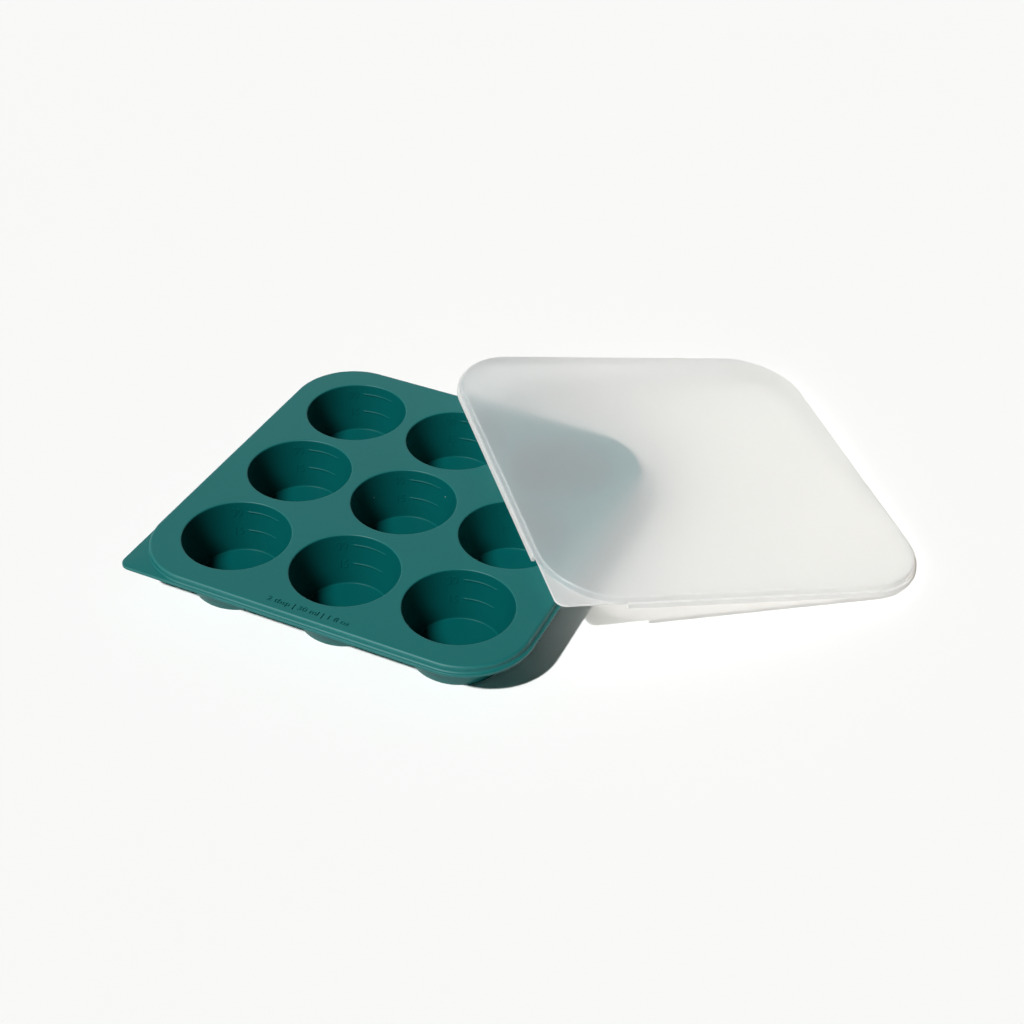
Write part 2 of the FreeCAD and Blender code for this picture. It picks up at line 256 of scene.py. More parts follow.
class Graph:
    """The nodes of a material or a world."""

    def __init__(self, owner):
        self.owner = owner
        owner.use_nodes = True
        self.tree = owner.node_tree
        self.tree.nodes.clear()

    def node(self, kind, settings=None, sockets=None, output=0):
        """Add a node, set it up, fill or link its sockets and give back one of its outputs."""
        node = self.tree.nodes.new(kind)
        for name, value in (settings or {}).items():
            if name == "stops":
                self.set_stops(node.color_ramp.elements, value)
            else:
                setattr(node, name, value)
        for name, value in (sockets or {}).items():
            if isinstance(value, Value):
                self.tree.links.new(value.socket, node.inputs[name])
            else:
                node.inputs[name].default_value = value
        return Value(self, node.outputs[output])

    @staticmethod
    def set_stops(elements, stops):
        """Set a ramp's first two stops: (place, grey level) pairs."""
        for element, (place, level) in zip(elements, stops):
            element.position = place
            element.color = (level, level, level, 1)

    def place(self):
        """The point on the piece, in metres, or the direction into the world."""
        return self.node("ShaderNodeTexCoord", output=OBJECT_COORDINATES)

    def noise(self, scale, detail=2.0):
        """Soft noise from 0 to 1 with this many blobs to the metre."""
        sockets = {"Vector": self.place(), "Scale": scale, "Detail": detail, "Roughness": 0.5}
        return self.node("ShaderNodeTexNoise", {}, sockets)

    def specks(self, cells, share, radius):
        """1 on round specks, 0 elsewhere: a share of the cells, so many to the metre, hold one."""
        settings = {"voronoi_dimensions": "3D", "feature": "F1"}
        sockets = {"Vector": self.place(), "Scale": cells, "Randomness": 1.0}
        distance = self.node("ShaderNodeTexVoronoi", settings, sockets)
        chance = self.node("ShaderNodeTexVoronoi", settings, sockets, output=1)
        chance = self.node("ShaderNodeSeparateColor", {}, {"Color": chance})
        return (distance < radius) * (chance < share)

    def ramp(self, value, low, high):
        """0 up to low, 1 from high."""
        return self.node("ShaderNodeValToRGB", {"stops": ((low, 0.0), (high, 1.0))}, {"Fac": value})

    def mix(self, factor, first, second):
        """Blend from the first colour to the second."""
        settings = {"data_type": "RGBA"}
        return self.node("ShaderNodeMix", settings, {0: factor, 6: first, 7: second}, output=2)

    def bump(self, height, depth):
        """Small relief: depth is its height in metres."""
        sockets = {"Height": height, "Strength": 1.0, "Distance": depth}
        return self.node("ShaderNodeBump", {}, sockets)

    def finish(self, shader, kind="ShaderNodeOutputMaterial"):
        self.tree.links.new(shader.socket, self.tree.nodes.new(kind).inputs["Surface"])
        return self.owner


def opaque(rgb, gain=1.0):
    return (rgb[0] * gain, rgb[1] * gain, rgb[2] * gain, 1.0)


FAINTLY_DARKER = 0.99
DYE_SPREAD = 0.06
GRAIN_ON_ROUGHNESS = 0.10
GRAIN_DEPTH = 0.004 * MM
DUST_ON_ROUGHNESS = 0.2
DUST_COVER = 0.45
DUST = (0.55, 0.62, 0.60, 1)
SILICONE_IOR = 1.43


def silicone_material(name, dye, gloss_roughness, gloss):
    """Dyed silicone: satin, faintly uneven, with a few specks of dust that cling to it."""
    graph = Graph(bpy.data.materials.new(name))
    clouds = graph.noise(scale=28, detail=3)
    grain = graph.noise(scale=2400, detail=2)
    dust = graph.specks(cells=90, share=0.10, radius=0.028)
    uneven = graph.mix(clouds, opaque(dye, 1 - DYE_SPREAD), opaque(dye, 1 + DYE_SPREAD))
    dusty = graph.mix(dust * DUST_COVER, uneven, DUST)
    rough = gloss_roughness + (grain - 0.5) * GRAIN_ON_ROUGHNESS + dust * DUST_ON_ROUGHNESS
    shader = graph.node("ShaderNodeBsdfPrincipled", {}, {
        "Base Color": dusty,
        "Roughness": rough,
        "IOR": SILICONE_IOR,
        "Specular IOR Level": gloss,
        "Normal": graph.bump(grain, GRAIN_DEPTH),
    })
    return graph.finish(shader)


def outside_silicone(name, finish):
    return silicone_material(name, finish.silicone, finish.silicone_roughness, gloss=0.5)


# The cups' insides: a darker dye than the deck's, which is painted shade for the light that reaches
# less far into the cups.
def inside_silicone_painted_shade(name, finish):
    return silicone_material(name, finish.cup_silicone, finish.cup_roughness, gloss=0.14)


CLOUDS_ON_FROSTING = 0.03
LID_DUST_COVER = 0.3
LID_DUST = (0.6, 0.6, 0.6, 1)
PLASTIC_IOR = 1.45


def frosted_panel(name, finish):
    clearness, light = finish.plastic_clearness, finish.plastic_light
    return frosted_material(name, finish, finish.plastic_veil, clearness, light)


def frosted_lip(name, finish):
    return frosted_material(name, finish, finish.lip_veil, finish.lip_clearness, finish.lip_light)


def frosted_material(name, finish, veil_colour, clearness, light):
    """Frosted plastic: milky, lets light through and blurs what lies behind it."""
    graph = Graph(bpy.data.materials.new(name))
    clouds = graph.noise(scale=12, detail=2)
    dust = graph.specks(cells=60, share=0.06, radius=0.02)
    tint = graph.mix(clouds, opaque(finish.plastic, FAINTLY_DARKER), opaque(finish.plastic))
    clear = graph.node("ShaderNodeBsdfPrincipled", {}, {
        "Base Color": graph.mix(dust * LID_DUST_COVER, tint, LID_DUST),
        "Roughness": finish.plastic_roughness + (clouds - 0.5) * CLOUDS_ON_FROSTING,
        "IOR": PLASTIC_IOR,
        "Transmission Weight": 1.0,
    })
    veil = graph.node("ShaderNodeBsdfDiffuse", {}, {"Color": opaque(veil_colour)})
    shell = graph.node("ShaderNodeMixShader", {}, {0: clearness, 1: veil, 2: clear})
    milk = graph.node("ShaderNodeBsdfTranslucent", {}, {"Color": opaque(finish.plastic)})
    body = graph.node("ShaderNodeMixShader", {}, {0: finish.plastic_milk, 1: shell, 2: milk})
    lamp_rays = graph.node("ShaderNodeLightPath", output=IS_SHADOW_RAY)
    bounced_rays = graph.node("ShaderNodeLightPath", output=IS_DIFFUSE_RAY)
    passed = lamp_rays * light + bounced_rays * finish.plastic_bounce
    open_way = graph.node("ShaderNodeBsdfTransparent", {}, {"Color": opaque(finish.plastic)})
    return graph.finish(graph.node("ShaderNodeMixShader", {}, {0: passed, 1: body, 2: open_way}))


def backdrop_material(name, finish):
    """A smooth pale sheet."""
    graph = Graph(bpy.data.materials.new(name))
    clouds = graph.noise(scale=2.0)
    sheet = graph.mix(clouds, opaque(finish.backdrop), opaque(finish.backdrop, FAINTLY_DARKER))
    sockets = {"Base Color": sheet, "Roughness": 1.0, "Specular IOR Level": 0.0}
    return graph.finish(graph.node("ShaderNodeBsdfPrincipled", {}, sockets))


MAKERS = {
    "soft_silicone": outside_silicone,
    "cup_silicone": inside_silicone_painted_shade,
    "frosted_plastic": frosted_panel,
    "frosted_lip": frosted_lip,
    "pale_sheet": backdrop_material,
}


def material_for(name, finish):
    """The material of this name, made the first time that it is wanted."""
    return bpy.data.materials.get(name) or MAKERS[name](name, finish)


def silicones(finish):
    """The tray's two finishes: its outside, and the smoother insides of its cups, darkened with
    painted shade.
    """
    return [material_for("soft_silicone", finish), material_for("cup_silicone", finish)]


def plastics(finish):
    """The lid's two finishes: its panel and wall, and the frostier lip and tab."""
    return [material_for("frosted_plastic", finish), material_for("frosted_lip", finish)]


# ---------------------------------------------------------------- shapes


def arc_spoke(first, last, share):
    """Turn from the first spoke of an arc towards the last one, both as long as its radius."""
    whole = first.angle(last)
    blend = first * math.sin((1 - share) * whole) + last * math.sin(share * whole)
    return blend / math.sin(whole)


def turn(before, here, after, radius, leads=None):
    """Points of a section round one corner: a short straight lead, an arc and another lead."""
    before, here, after = Vector(before), Vector(here), Vector(after)
    leads = leads or (radius * LEAD_SHARE, radius * LEAD_SHARE)
    back = (before - here).normalized()
    ahead = (after - here).normalized()
    half_angle = back.angle(ahead) / 2
    reach = radius / math.tan(half_angle)
    centre = here + (back + ahead).normalized() * (radius / math.sin(half_angle))
    start = here + back * reach
    end = here + ahead * reach
    shares = (step / ARC_STEPS for step in range(ARC_STEPS + 1))
    arc = [centre + arc_spoke(start - centre, end - centre, share) for share in shares]
    return [start + back * leads[0]] + arc + [end + ahead * leads[1]]


def arc_reach(before, here, after, radius):
    """How far from a corner its arc starts."""
    return radius / math.tan((before - here).angle(after - here) / 2) if radius else 0.0


def rounded(corners):
    """Points of a section with round corners, which are given as (across, height, radius)."""
    places = [Vector(corner[:2]) for corner in corners]
    radii = [corner[2] for corner in corners]
    last = len(corners) - 1
    reaches = [
        arc_reach(places[k - 1], places[k], places[min(k + 1, last)], radii[k])
        for k in range(last + 1)
    ]
    runs = [(places[k + 1] - places[k]).length - reaches[k] - reaches[k + 1] for k in range(last)]
    points = []
    for k, place in enumerate(places):
        if radii[k] == 0:
            points.append(place)
        else:
            leads = [min(radii[k], run) * LEAD_SHARE for run in (runs[k - 1], runs[k])]
            points.extend(turn(places[k - 1], place, places[k + 1], radii[k], leads))
    return points


CAPITALS_IN_SIZE = 0.7
BOLDNESS = 0.022
WELD_DISTANCE = 0.002 * MM
SHARP_ANGLE = math.radians(38)
FILL_PRECISION = 1e-5


class Skin:
    """A mesh that is put together from rings of points."""

    def __init__(self):
        self.mesh = bmesh.new()
        self.finish = 0

    def points(self, places):
        return [self.mesh.verts.new(place) for place in places]

    def face(self, corners):
        if len(set(corners)) > 2:
            self.mesh.faces.new(corners).material_index = self.finish

    def join(self, first, second):
        """Fill between two rings with as many points."""
        count = len(first)
        for k in range(count):
            following = (k + 1) % count
            self.face((first[k], first[following], second[following], second[k]))

    def sleeve(self, rings):
        rings = [self.points(ring) for ring in rings]
        for first, second in zip(rings, rings[1:]):
            self.join(first, second)
        return rings

    def fan(self, ring, tip):
        """Close a ring to a point."""
        tip = self.mesh.verts.new(tip)
        count = len(ring)
        for k in range(count):
            self.face((ring[k], ring[(k + 1) % count], tip))

    def flat(self, outline, openings, height):
        """Fill a level outline, except for its openings, but with the islands in them."""
        points = []
        loops = []
        for loop in [outline] + openings:
            loops.append(list(range(len(points), len(points) + len(loop))))
            points.extend(Vector((point[0] / MM, point[1] / MM)) for point in loop)
        inside_outline = 1
        filled = delaunay_2d_cdt(points, [], loops, inside_outline, FILL_PRECISION)
        verts, _, faces, _, _, around = filled
        made = self.points((vert.x * MM, vert.y * MM, height) for vert in verts)
        for corners, loops_around in zip(faces, around):
            if len(loops_around) % 2:
                self.face([made[k] for k in corners])

    def build(self, name, materials):
        """Weld, aim the faces outwards, shade them smooth and make the piece."""
        bmesh.ops.remove_doubles(self.mesh, verts=self.mesh.verts, dist=WELD_DISTANCE)
        bmesh.ops.recalc_face_normals(self.mesh, faces=self.mesh.faces)
        data = bpy.data.meshes.new(name)
        self.mesh.to_mesh(data)
        self.mesh.free()
        data.shade_smooth()
        data.set_sharp_from_angle(angle=SHARP_ANGLE)
        for material in materials:
            data.materials.append(material)
        piece = bpy.data.objects.new(name, data)
        bpy.context.scene.collection.objects.link(piece)
        return piece


def on_circle(centre, radius, angle, height):
    """A point round an upright axis, with its angle taken anticlockwise from +X."""
    x = centre.x + radius * math.cos(angle)
    y = centre.y + radius * math.sin(angle)
    return Vector((x, y, height))


def cup_angle(step):
    return 2 * math.pi * step / CUP_STEPS


def circle(centre, radius, height):
    """A level ring of points round an upright axis."""
    return [on_circle(centre, radius, cup_angle(step), height) for step in range(CUP_STEPS)]


CORNER_CROWDING = 0.7


def corner_turn(quarter, step):
    """The direction of a step round a corner; the steps are closest in the corner's middle."""
    part = step / CORNER_STEPS
    part += CORNER_CROWDING * math.sin(2 * math.pi * part) / (2 * math.pi)
    return (quarter + part) * math.pi / 2


def square_reach(side, radius, angle):
    """How far the edge of a nearly square corner is from a point this far from both sides."""
    along = max(abs(math.cos(angle)), abs(math.sin(angle)))
    across = min(abs(math.cos(angle)), abs(math.sin(angle)))
    if side * across / along <= side - radius:
        return side / along
    inner = side - radius
    middle = inner * (along + across)
    return middle + math.sqrt(middle ** 2 - 2 * inner ** 2 + radius ** 2)


CORNER_SIGNS = ((1, 1), (-1, 1), (-1, -1), (1, -1))
TAB_QUARTER = 2


def corner_point(half, height, centre, quarter, step, tab_corner=None):
    """A point on a square's round corner, or on its tab's corner where that radius is given."""
    sign_x, sign_y = CORNER_SIGNS[quarter]
    angle = corner_turn(quarter, step)
    reach = half - centre
    if tab_corner is not None:
        reach = square_reach(reach, tab_corner, angle)
    return Vector((
        sign_x * centre + reach * math.cos(angle),
        sign_y * centre + reach * math.sin(angle),
        height,
    ))


def square_ring(half, height, centre, tab_corner=None):
    """A square with round corners, or one whose tab corner is nearly square."""
    return [
        corner_point(
            half, height, centre, quarter, step, tab_corner if quarter == TAB_QUARTER else None
        )
        for quarter in range(4) for step in range(CORNER_STEPS + 1)
    ]


def lettering(text, height, width=None):
    """Flat letters of this height, narrowed to a width: their points, faces and outlines."""
    curve = bpy.data.curves.new("lettering", "FONT")
    curve.body = text
    curve.size = height / CAPITALS_IN_SIZE
    curve.align_x = "CENTER"
    curve.resolution_u = 4
    curve.offset = BOLDNESS * curve.size
    stand = bpy.data.objects.new("lettering", curve)
    bpy.context.scene.collection.objects.link(stand)
    bpy.context.view_layer.update()
    data = bpy.data.meshes.new_from_object(stand)
    narrow = width / stand.dimensions.x if width else 1.0
    bpy.data.objects.remove(stand)
    bpy.data.curves.remove(curve)
    points = [Vector((vert.co.x * narrow, vert.co.y)) for vert in data.vertices]
    faces = [tuple(face.vertices) for face in data.polygons]
    bpy.data.meshes.remove(data)
    return points, faces, outlines(faces)


def outlines(faces):
    """Closed runs of corners along the edges that only one face has."""
    sides = {side for face in faces for side in zip(face, face[1:] + face[:1])}
    following = {first: second for first, second in sorted(sides) if (second, first) not in sides}
    loops = []
    while following:
        first, here = following.popitem()
        loop = [first]
        while here != first:
            loop.append(here)
            here = following.pop(here)
        loops.append(loop)
    return loops


# ---------------------------------------------------------------- tray


INSIDE = 1
LIP_POINTS = 6
LINE_ROWS = (-1.3, -1.0, -0.85, -0.5, 0.0, 0.5, 0.85, 1.0, 1.3)
SEAM_WIDTH = 0.9 * MM
UNDER_SEAM_RADIUS = 28.4 * MM
COLLAR_ROUND = 0.25 * MM
FOOT_ROUND = 0.3 * MM
DECK_EDGE_MARGIN = 1.2 * MM


def cup_centre(row, column):
    floor = f"cup_floor_r{row}c{column}"
    return (low_corner(floor) + high_corner(floor)) / 2


def wall_slope(sizes):
    """How much a cup's inner radius grows for each metre of height."""
    return (sizes.mouth_radius - sizes.floor_radius) / (sizes.deck_top - sizes.floor_top)


def inner_radius(sizes, height):
    return sizes.floor_radius + wall_slope(sizes) * (height - sizes.floor_top)


def seam_radius(sizes):
    """Where a cup's skin meets the deck's, on the flat just outside the lip."""
    return sizes.mouth_radius + sizes.mouth_round + SEAM_WIDTH


def cup_outside(sizes):
    """Section of a cup's outer wall, from under the deck to its foot ring's inner edge."""
    deck_underside = sizes.deck_top - sizes.deck_thickness
    collar = sizes.mouth_radius + sizes.cup_wall
    base = sizes.floor_radius + sizes.base_wall
    return rounded([
        (UNDER_SEAM_RADIUS, deck_underside, 0),
        (collar, deck_underside, COLLAR_ROUND),
        (base, 0, sizes.base_round),
        (sizes.floor_radius, 0, FOOT_ROUND),
        (sizes.floor_radius, sizes.floor_top, 0),
    ])


def cup_inside(sizes):
    """Section of a cup's inner wall, foot to deck, with more points at the fill lines."""
    section = [Vector((sizes.floor_radius, sizes.floor_top))]
    for depth in (sizes.half_line_depth, sizes.full_line_depth):
        for row in LINE_ROWS:
            height = sizes.deck_top - depth + row * sizes.line_width / 2
            section.append(Vector((inner_radius(sizes, height), height)))
    below_lip = (inner_radius(sizes, sizes.floor_top), sizes.floor_top)
    lip = (sizes.mouth_radius, sizes.deck_top)
    seam = (seam_radius(sizes), sizes.deck_top)
    return section + turn(below_lip, lip, seam, sizes.mouth_round) + [Vector(seam)]


LINE_SPAN = math.radians(39)


def line_relief(sizes, height, angle):
    """How far a fill line stands out of the wall here."""
    away = abs(angle - math.pi / 2)
    end = LINE_SPAN / 2
    step = 2 * math.pi / CUP_STEPS
    share = min(1.0, max(0.0, (end + step / 2 - away) / step))
    for depth in (sizes.full_line_depth, sizes.half_line_depth):
        across = (height - (sizes.deck_top - depth)) / (sizes.line_width / 2)
        if abs(across) < 1:
            return sizes.line_height * share * math.sqrt(1 - across ** 2)
    return 0.0


def marked_ring(sizes, centre, radius, height):
    """A ring of the inner wall, drawn in where a fill line stands out."""
    ring = []
    for angle in map(cup_angle, range(CUP_STEPS)):
        reach = radius - line_relief(sizes, height, angle)
        ring.append(on_circle(centre, reach, angle, height))
    return ring


NUMERAL_TURN = math.radians(123)
NUMERAL_HEIGHT = 3.6 * MM
NUMERAL_RELIEF = 0.16 * MM


def add_numeral(skin, sizes, centre, text, depth):
    """Raised figures on the inner wall, to the left of their fill line."""
    points, faces, outline = lettering(text, NUMERAL_HEIGHT)
    middle = sizes.deck_top - depth

    def on_wall(point, relief):
        height = middle + point.y - NUMERAL_HEIGHT / 2
        radius = inner_radius(sizes, height) - relief
        return on_circle(centre, radius, NUMERAL_TURN - point.x / radius, height)

    tops = skin.points(on_wall(point, NUMERAL_RELIEF) for point in points)
    feet = skin.points(on_wall(point, -NUMERAL_RELIEF) for point in points)
    for face in faces:
        skin.face([tops[k] for k in face])
    for loop in outline:
        skin.join([tops[k] for k in loop], [feet[k] for k in loop])


def make_cup(sizes, row, column, silicone):
    """One cup's wall, lip, foot ring and fill lines."""
    centre = cup_centre(row, column)
    skin = Skin()
    outside = [circle(centre, across, height) for across, height in cup_outside(sizes)]
    inside = [marked_ring(sizes, centre, across, height) for across, height in cup_inside(sizes)]
    skin.sleeve(outside)
    skin.sleeve(inside[-LIP_POINTS:])
    # Below the lip the inner wall takes the darker silicone: painted shade.
    skin.finish = INSIDE
    skin.sleeve(inside[:1 - LIP_POINTS])
    add_numeral(skin, sizes, centre, "30", sizes.full_line_depth)
    add_numeral(skin, sizes, centre, "15", sizes.half_line_depth)
    cup = skin.build(f"cup_skin_r{row}c{column}", silicone)
    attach(cup, "tray")
    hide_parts(f"cup_r{row}c{column}")


FLOOR_FILLET = 0.7 * MM
FLOOR_FILLET_TOP = 0.8 * MM
FLOOR_CLEARANCE = 0.03 * MM
FLOOR_LIFT = 0.01 * MM
DISC_SIDE_BELOW_TOP = 0.4 * MM
DISC_ROUND = 0.3 * MM


def make_cup_floor(sizes, row, column, silicone):
    """One cup's soft floor, built at rest; the real one stretches away from the wall when it is
    pushed up.
    """
    centre = cup_centre(row, column)
    top = sizes.floor_top
    fillet_top = top + FLOOR_FILLET_TOP
    edge = sizes.floor_radius - FLOOR_CLEARANCE
    disc_edge = high_corner(f"cup_floor_r{row}c{column}").x - centre.x
    upper = rounded([
        (inner_radius(sizes, fillet_top) - FLOOR_CLEARANCE, fillet_top, 0),
        (edge, top + FLOOR_LIFT, FLOOR_FILLET),
        (edge / 2, top + FLOOR_LIFT, 0),
    ])
    lower = rounded([
        (disc_edge, top - DISC_SIDE_BELOW_TOP, 0),
        (disc_edge, sizes.floor_underside, DISC_ROUND),
        (disc_edge / 2, sizes.floor_underside, 0),
    ])
    skin = Skin()
    lower_rings = skin.sleeve(circle(centre, across, height) for across, height in lower)
    skin.fan(lower_rings[-1], (centre.x, centre.y, sizes.floor_underside))
    # The floor's upper face takes the darker silicone: painted shade.
    skin.finish = INSIDE
    upper_rings = skin.sleeve(circle(centre, across, height) for across, height in upper)
    skin.join(upper_rings[0], lower_rings[0])
    skin.fan(upper_rings[-1], (centre.x, centre.y, top + FLOOR_LIFT))
    floor = skin.build(f"floor_skin_r{row}c{column}", silicone)
    body = f"cup_floor_r{row}c{column}"
    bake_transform(floor)
    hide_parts(body)


FLANGE_ROUND = 0.35 * MM
INNER_EDGE_ROUND = 0.4 * MM
TAB_STARTS_BEYOND_WALL = 0.6 * MM
LEAST_TAB_CORNER = 0.5 * MM


def rim_section(sizes):
    """Section of the rim from the deck's top, round the flange, to the deck's underside."""
    underside = sizes.deck_top - sizes.deck_thickness
    inner = sizes.rim_half - sizes.rim_wall
    margin = DECK_EDGE_MARGIN
    return rounded([
        (sizes.rim_half - sizes.edge_round - margin, sizes.deck_top, 0),
        (sizes.rim_half, sizes.deck_top, sizes.edge_round),
        (sizes.rim_half, sizes.flange_top, sizes.crease_round),
        (sizes.flange_half, sizes.flange_top, FLANGE_ROUND),
        (sizes.flange_half, sizes.flange_underside, FLANGE_ROUND),
        (inner, sizes.flange_underside, FLANGE_ROUND),
        (inner, underside, INNER_EDGE_ROUND),
        (inner - margin, underside, 0),
    ])


SAME_PLACE = 1e-7
LEGEND = "2 tbsp | 30 ml | 1 fl oz"
LEGEND_PLACE = (-0.3 * MM, -91.6 * MM)


def make_deck(sizes, silicone):
    """The deck round the cups' mouths, the rim with its flange and pull tab, and the legend."""
    skin = Skin()
    section = rim_section(sizes)
    rings = []
    for across, height in section:
        beyond_wall = across > sizes.rim_half + TAB_STARTS_BEYOND_WALL
        inset = sizes.flange_half - across
        corner = max(sizes.tab_corner - inset, LEAST_TAB_CORNER) if beyond_wall else None
        rings.append(square_ring(across, height, sizes.corner_centre, corner))
    skin.sleeve(rings)
    centres = [cup_centre(row, column) for row, column in CUP_PLACES]
    mouths = [circle(centre, seam_radius(sizes), sizes.deck_top) for centre in centres]
    collars = [circle(centre, UNDER_SEAM_RADIUS, sizes.deck_top) for centre in centres]
    letters = sink_legend(skin, sizes)
    skin.flat(without_repeats(rings[0]), mouths + letters, sizes.deck_top)
    skin.flat(without_repeats(rings[-1]), collars, sizes.deck_top - sizes.deck_thickness)
    deck = skin.build("deck_skin", silicone)
    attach(deck, "tray")
    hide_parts("tray_rim", "tray_tab")


def without_repeats(ring):
    """The ring's points, but not those that stand where the one before them does."""
    pairs = zip(ring, ring[-1:] + ring[:-1])
    return [point for point, before in pairs if (point - before).length > SAME_PLACE]


def sink_legend(skin, sizes):
    """Build the letters' bottoms and sides below the deck's top, and give back their outlines."""
    letters, faces, loops = lettering(LEGEND, sizes.legend_height, sizes.legend_width)
    places = [letter + Vector(LEGEND_PLACE) for letter in letters]
    bottom = sizes.deck_top - sizes.legend_depth
    tops = skin.points((x, y, sizes.deck_top) for x, y in places)
    feet = skin.points((x, y, bottom) for x, y in places)
    for face in faces:
        skin.face([feet[k] for k in face])
    for loop in loops:
        skin.join([tops[k] for k in loop], [feet[k] for k in loop])
    return [[places[k] for k in loop] for loop in loops]


# ---------------------------------------------------------------- lid


def weighted_middle(data, wanted):
    """Middle of the faces that are wanted, by their area."""
    total = 0.0
    middle = Vector((0, 0, 0))
    for face in data.polygons:
        if wanted(face):
            middle += face.center * face.area
            total += face.area
    return middle / total


ROUGHLY_LEVEL = 0.9
IN_THE_TOP = 0.99999
FROM_TAB_TO_X = math.radians(135)


def lid_axes(lid):
    """The lid's own axes as it lies: up out of its panel, with its tab at its -X -Y corner."""
    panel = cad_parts["lid_panel"].data
    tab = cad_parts["lid_tab"].data
    upward = (face.normal * face.area for face in panel.polygons if face.normal.z > ROUGHLY_LEVEL)
    up = sum(upward, Vector()).normalized()
    top = weighted_middle(panel, lambda face: face.normal.dot(up) > IN_THE_TOP)
    towards_tab = weighted_middle(tab, lambda face: True) - top
    towards_tab = (towards_tab - up * towards_tab.dot(up)).normalized()
    along = Matrix.Rotation(FROM_TAB_TO_X, 3, up) @ towards_tab
    across = up.cross(along)
    axes = Matrix((along, across, up)).transposed().to_4x4()
    return Matrix.Translation(top - up * lid.panel_top) @ axes


LIP_FINISH = 1
LIP_CORNERS = 5
FAR = 6 * MM
SHARPER = 0.6
TAB_ROOT_OUT = 0.5 * MM


def lid_sections(lid):
    """Two sections of the lid with as many points: through its lip, and through its tab."""
    wall_inner = lid.wall_half - lid.wall
    lip_inner = lid.lip_half - lid.lip_wall
    under, over = lid.step_underside, lid.step_top
    roof, top = lid.panel_underside, lid.panel_top
    small = lid.small_round
    far_in = lid.wall_half - FAR
    far_out = lid.lip_half + FAR
    start = turn((far_in, roof), (wall_inner, roof), (wall_inner, 0), small)
    start += turn((wall_inner, top), (wall_inner, under), (far_out, under), small * SHARPER)
    finish = turn((lid.wall_half, over), (lid.wall_half, top), (far_in, top), lid.panel_round)
    lip = turn((wall_inner, under), (lip_inner, under), (lip_inner, 0), small * SHARPER)
    lip += turn((lip_inner, under), (lip_inner, 0), (far_out, 0), small)
    lip += turn((far_in, 0), (lid.lip_half, 0), (lid.lip_half, over), small)
    lip += turn((lid.lip_half, 0), (lid.lip_half, over), (far_in, over), small)
    lip += turn((far_out, over), (lid.wall_half, over), (lid.wall_half, top), small)
    corner_points = len(lip) // LIP_CORNERS
    tab = [Vector((wall_inner + TAB_ROOT_OUT, under))] * corner_points
    tab += turn((far_in, under), (lid.wall_half, under), (lid.wall_half, top), small)
    tab += [Vector((lid.wall_half, (under + over) / 2))] * corner_points
    tab += turn((lid.wall_half, under), (lid.wall_half, over), (far_in, over), small)
    tab += turn((far_out, over), (lid.wall_half, over), (lid.wall_half, top), small)
    # The tab's own faces run from its second corner to its last but one.
    on_tab = range(len(start) + corner_points, len(start) + (LIP_CORNERS - 1) * corner_points)
    return start + lip + finish, start + tab + finish, on_tab


def lid_stations():
    """Places round the lid: (quarter, step, whether the section there is the tab's)."""
    for quarter in range(4):
        if quarter == TAB_QUARTER:
            yield quarter, 0, False
        for step in range(CORNER_STEPS + 1):
            yield quarter, step, quarter == TAB_QUARTER
        if quarter == TAB_QUARTER:
            yield quarter, CORNER_STEPS, False


NEARLY_HALF = 0.45


def tab_room(sizes, lid, step):
    """Nearly half of how far the tab reaches out of the lid's round corner at a step."""
    reach = lid.wall_half - sizes.corner_centre
    tab_reach = square_reach(reach, lid.tab_corner, corner_turn(TAB_QUARTER, step))
    return NEARLY_HALF * (tab_reach - reach)


def make_lid(sizes, lid, plastics_of_lid):
    """The whole lid in one skin: panel, wall, stepped lip and pull tab."""
    place = lid_axes(lid)
    through_lip, through_tab, on_tab = lid_sections(lid)
    slices = []
    for quarter, step, at_tab in lid_stations():
        section = through_tab if at_tab else through_lip
        room = tab_room(sizes, lid, step)
        points = []
        for k, (across, height) in enumerate(section):
            corner = None
            if at_tab and k in on_tab:
                inset = min(lid.wall_half - across, room)
                across = lid.wall_half - inset
                corner = lid.tab_corner - inset
            elif at_tab:
                across = min(across, lid.wall_half + room)
            point = corner_point(across, height, sizes.corner_centre, quarter, step, corner)
            points.append(place @ point)
        slices.append(points)
    skin = Skin()
    rings = [skin.points(ring) for ring in zip(*slices)]
    for k, (first, second) in enumerate(zip(rings, rings[1:])):
        skin.finish = LIP_FINISH if k in on_tab else 0
        skin.join(first, second)
    skin.finish = 0
    close_flat(skin, rings[0])
    close_flat(skin, rings[-1])
    piece = skin.build("lid_skin", plastics_of_lid)
    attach(piece, "lid")
    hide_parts("lid_panel", "lid_skirt", "lid_tab")


FLAT_RINGS = (0.9, 0.6, 0.3)


def close_flat(skin, ring):
    """Close a ring that lies in a plane with narrowing rings and a middle point."""
    middle = sum((vert.co for vert in ring), Vector()) / len(ring)
    outer = ring
    for share in FLAT_RINGS:
        inner = skin.points(middle + (vert.co - middle) * share for vert in ring)
        skin.join(outer, inner)
        outer = inner
    skin.fan(outer, middle)


# ---------------------------------------------------------------- studio


BACKDROP_HALF = 6.0
LOW_HAZE_UP_TO = 0.35
HIGH_HAZE_FROM = 0.85
SENSOR_WIDTH = 36
FLOOR_LIGHT_FROM = Vector((-0.15, -0.9, 1.0))
KEY_FROM = Vector((-0.3, -0.76, 1.0))


